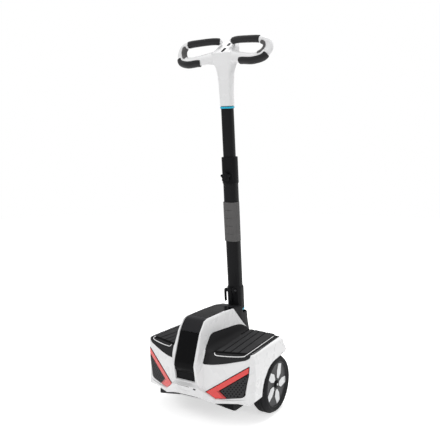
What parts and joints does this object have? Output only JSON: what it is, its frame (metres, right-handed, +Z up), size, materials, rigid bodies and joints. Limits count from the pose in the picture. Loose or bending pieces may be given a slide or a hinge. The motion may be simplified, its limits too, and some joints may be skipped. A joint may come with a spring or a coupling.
{
  "type": "self-balancing personal transporter",
  "caption": "Two-wheeled self-balancing rider with ribbed foot mats, a tilting telescopic post and a looped handlebar.",
  "frame": {"origin": "on the floor, under the middle of the footprint", "axes": "+X to the rider's right, +Y forwards, +Z up"},
  "size_m": [0.426, 0.4584, 1.2793],
  "materials": {
    "white_shell": "glossy white moulded plastic",
    "black_gloss": "high gloss black",
    "black_plastic": "fine moulded grain",
    "mat_rubber": "matt with moulded grooves",
    "tyre": "matt rubber",
    "black_tube": "black anodised aluminium",
    "dark_disc": "satin dark grey",
    "light_inlay": "satin light grey",
    "grey_pad": "soft grey rubber",
    "grip_rubber": "black grip rubber",
    "blue_ring": "glossy blue",
    "red_lens": "clear red lamp lens",
    "steel": "plain steel",
    "cast_metal": "as cast",
    "battery_wrap": "blue shrink wrap",
    "circuit_board": "green board"
  },
  "bodies": {
    "base": {"upper_shell": "white_shell", "bottom_tray": "black_plastic", "spine_cover_upper": "black_gloss", "spine_cover_lower": "black_gloss", "column_cover": "black_plastic", "foot_mat_left": "mat_rubber", "foot_mat_right": "mat_rubber", "mat_trim_left": "white_shell", "mat_trim_right": "white_shell", "tail_lamp_left": "red_lens", "tail_lamp_right": "red_lens", "lamp_housing_left": "black_plastic", "lamp_housing_right": "black_plastic", "charge_socket": "black_plastic", "chassis_frame": "cast_metal", "battery_pack": "battery_wrap", "control_board": "circuit_board", "foot_sensor_left": "grey_pad", "foot_sensor_right": "grey_pad", "axle_left": "steel", "axle_right": "steel", "pivot_bearing_front": "steel", "pivot_bearing_rear": "steel", "centring_spring": "steel"},
    "left_wheel": {"tyre_left": "tyre", "wheel_rim_left": "dark_disc", "wheel_insert_left": "light_inlay", "hub_cap_left": "black_plastic", "hub_motor_left": "cast_metal"},
    "right_wheel": {"tyre_right": "tyre", "wheel_rim_right": "dark_disc", "wheel_insert_right": "light_inlay", "hub_cap_right": "black_plastic", "hub_motor_right": "cast_metal"},
    "steering": {"steering_shaft": "cast_metal", "post_socket": "black_tube", "ring_lower": "blue_ring", "latch_bolt": "steel"},
    "release_lever": {"latch_lever": "black_plastic", "latch_pin": "steel"},
    "lower_post": {"lower_tube": "black_tube", "knee_pad": "grey_pad", "clamp_collar": "black_plastic"},
    "clamp_knob": {"star_knob": "black_plastic"},
    "upper_post": {"upper_tube": "black_tube", "ring_upper": "blue_ring", "stem_head": "white_shell", "handle_loop_left": "white_shell", "handle_loop_right": "white_shell", "near_grip_left": "grip_rubber", "near_grip_right": "grip_rubber", "far_grip_left": "grip_rubber", "far_grip_right": "grip_rubber", "loop_lining_left": "grey_pad", "loop_lining_right": "grey_pad", "battery_window": "black_gloss"},
    "charge_door": {"charge_flap": "white_shell"},
    "power_key": {"power_button": "black_plastic"},
    "mode_key": {"mode_button": "black_plastic"}
  },
  "joints": [
    {"name": "left_wheel_spin", "type": "hinge", "parent": "base", "child": "left_wheel", "pos_m": [-0.184, 0.03875, 0.1], "axis": [1, 0, 0], "continuous": true},
    {"name": "right_wheel_spin", "type": "hinge", "parent": "base", "child": "right_wheel", "pos_m": [0.184, 0.03875, 0.1], "axis": [1, 0, 0], "continuous": true},
    {"name": "steer_tilt", "type": "hinge", "parent": "base", "child": "steering", "pos_m": [0, 0.12495, 0.3], "axis": [0, 1, 0], "range_deg": [-12, 12], "stiffness_Nm_per_rad": 60},
    {"name": "lever_swing", "type": "hinge", "parent": "steering", "child": "release_lever", "pos_m": [-0.023, 0.08835, 0.39498], "axis": [0, 0.9956, 0.0941], "range_deg": [0, 100]},
    {"name": "post_lift", "type": "slide", "parent": "steering", "child": "lower_post", "axis": [0, -0.0941, 0.9956], "range_m": [0, 0.08]},
    {"name": "knob_turn", "type": "hinge", "parent": "lower_post", "child": "clamp_knob", "pos_m": [0, 0.07677, 0.80973], "axis": [0, 0.9956, 0.0941], "range_deg": [-360, 0]},
    {"name": "height_slide", "type": "slide", "parent": "lower_post", "child": "upper_post", "axis": [0, -0.0941, 0.9956], "range_m": [-0.15, 0]},
    {"name": "charge_flap_open", "type": "hinge", "parent": "base", "child": "charge_door", "pos_m": [0, -0.2219, 0.12766], "axis": [1, 0, 0], "range_deg": [0, 90]},
    {"name": "power_press", "type": "slide", "parent": "base", "child": "power_key", "axis": [-0.2908, 0.9117, 0.2903], "range_m": [0, 0.0012], "stiffness_N_per_m": 400},
    {"name": "mode_press", "type": "slide", "parent": "upper_post", "child": "mode_key", "axis": [0, 0.5299, -0.848], "range_m": [0, 0.0012], "stiffness_N_per_m": 400}
  ]
}
